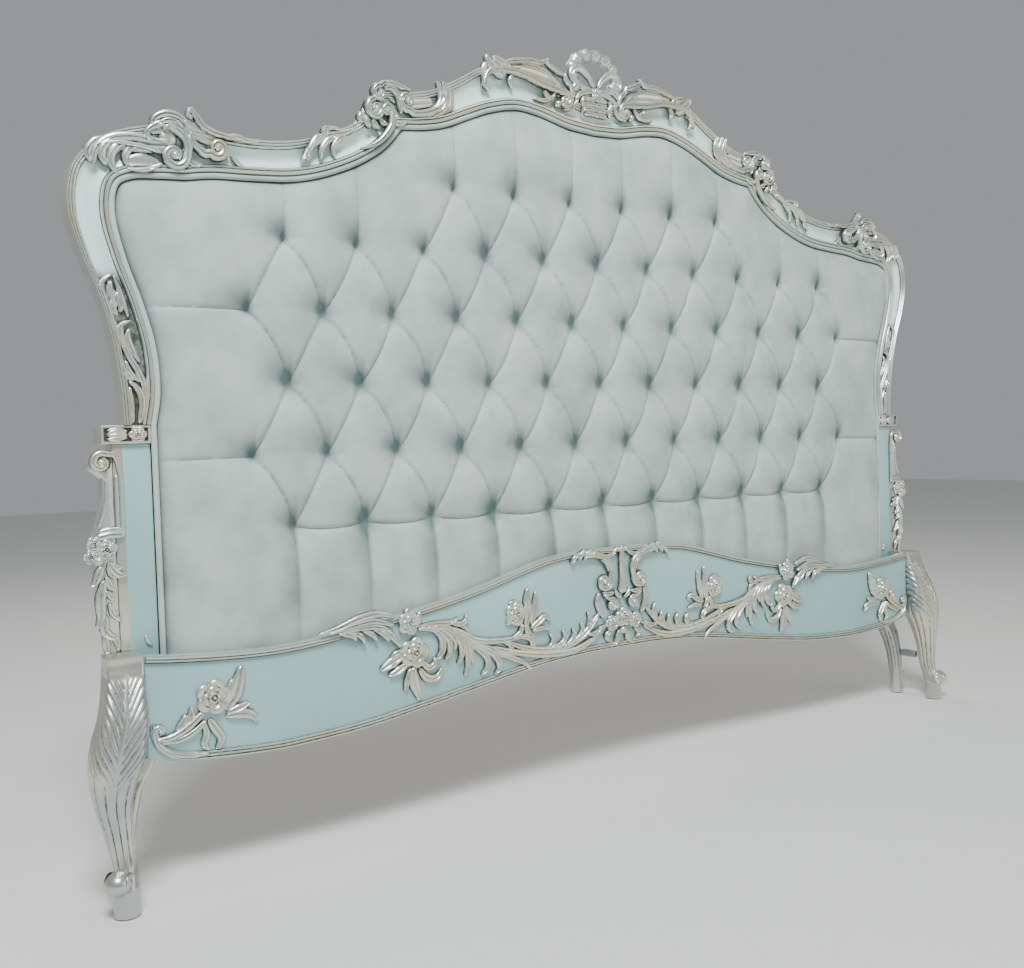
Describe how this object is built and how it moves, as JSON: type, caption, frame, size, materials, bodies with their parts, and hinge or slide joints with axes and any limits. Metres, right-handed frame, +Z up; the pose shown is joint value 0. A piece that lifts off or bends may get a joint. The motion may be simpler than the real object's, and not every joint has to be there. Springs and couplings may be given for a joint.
{
  "type": "bed ends",
  "caption": "Carved, silver-leafed bed: a tall serpentine headboard with diamond-tufted upholstery, and a low curved footboard on cabriole legs with applied scroll and rose carving",
  "frame": {"origin": "on the floor, under the middle of the part's bounding box", "axes": "+X across the bed, +Y towards the wall behind the headboard, +Z up; the footboard's carved face looks along -Y"},
  "size_m": [2.1366, 0.1715, 1.538],
  "materials": {
    "silver_leaf": "carved wood, silver leaf with a dark glaze in the hollows",
    "silver_leaf_legs": "carved wood, darker silver leaf",
    "mint_lacquer": "pale aqua lacquer over wood, satin",
    "velvet": "short-pile light grey velvet over foam",
    "timber": "stained, unfinished back and under parts",
    "steel": "zinc-plated steel"
  },
  "bodies": {
    "root": {"backing_board": "timber", "block_rosette_left": "silver_leaf", "block_rosette_right": "silver_leaf", "bottom_bead": "silver_leaf", "centre_cartouche": "silver_leaf", "corner_block_left": "silver_leaf", "corner_block_right": "silver_leaf", "crest_leaf_left": "silver_leaf", "crest_leaf_right": "silver_leaf", "crest_rail": "silver_leaf", "crest_reeds": "silver_leaf", "crest_ring": "silver_leaf", "footboard_hook_plate_left": "steel", "footboard_hook_plate_right": "steel", "footboard_leg_left": "silver_leaf_legs", "footboard_leg_right": "silver_leaf_legs", "footboard_panel": "mint_lacquer", "headboard_apron": "timber", "headboard_hook_plate_left": "steel", "headboard_hook_plate_right": "steel", "headboard_leg_left": "silver_leaf_legs", "headboard_leg_right": "silver_leaf_legs", "headboard_post_left": "mint_lacquer", "headboard_post_right": "mint_lacquer", "leg_rose_left": "silver_leaf", "leg_rose_right": "silver_leaf", "leg_spray_left": "silver_leaf", "leg_spray_right": "silver_leaf", "lower_rose_left": "silver_leaf", "lower_rose_right": "silver_leaf", "panel_welt": "velvet", "peak_shell_left": "silver_leaf", "peak_shell_right": "silver_leaf", "post_console_left": "silver_leaf", "post_console_right": "silver_leaf", "post_drop_left": "silver_leaf", "post_drop_right": "silver_leaf", "shoulder_leaf_left": "silver_leaf", "shoulder_leaf_right": "silver_leaf", "shoulder_shell_left": "silver_leaf", "shoulder_shell_right": "silver_leaf", "spacer_bar_left": "steel", "spacer_bar_right": "steel", "spray_inner_left": "silver_leaf", "spray_inner_right": "silver_leaf", "spray_outer_left": "silver_leaf", "spray_outer_right": "silver_leaf", "stile_leaf_left": "silver_leaf", "stile_leaf_right": "silver_leaf", "stile_left": "silver_leaf", "stile_right": "silver_leaf", "top_bead": "silver_leaf", "top_leaf_left": "silver_leaf", "top_leaf_right": "silver_leaf", "tufted_panel": "velvet", "upper_rose_left": "silver_leaf", "upper_rose_right": "silver_leaf", "wing_rail_left": "silver_leaf", "wing_rail_right": "silver_leaf"}
  },
  "joints": []
}
